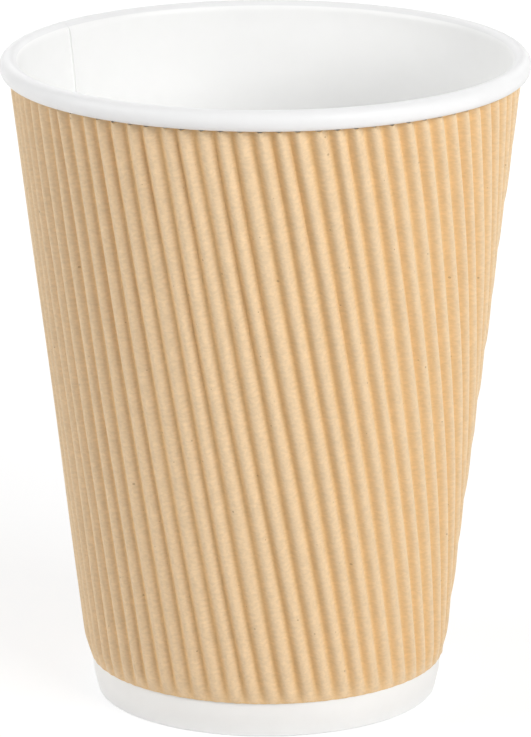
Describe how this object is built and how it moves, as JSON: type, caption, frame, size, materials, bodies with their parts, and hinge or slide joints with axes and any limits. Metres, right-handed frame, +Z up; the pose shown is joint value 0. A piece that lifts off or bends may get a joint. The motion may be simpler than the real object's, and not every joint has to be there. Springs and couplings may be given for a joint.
{
  "type": "paper coffee cup",
  "caption": "Tapered white paper cup with a rolled rim and a recessed base, wrapped in a corrugated kraft sleeve with slanting flutes.",
  "frame": {"origin": "on the cup's axis, at the table it stands on", "axes": "+Z up along the cup's axis; -Y towards the viewer of the picture, +X to the viewer's right"},
  "size_m": [0.09, 0.09, 0.112],
  "materials": {
    "white_board": "satin",
    "base_board": "satin",
    "kraft": "matte"
  },
  "bodies": {
    "root": {"cup_wall": "white_board", "base_disc": "base_board", "ripple_sleeve": "kraft"}
  },
  "joints": []
}
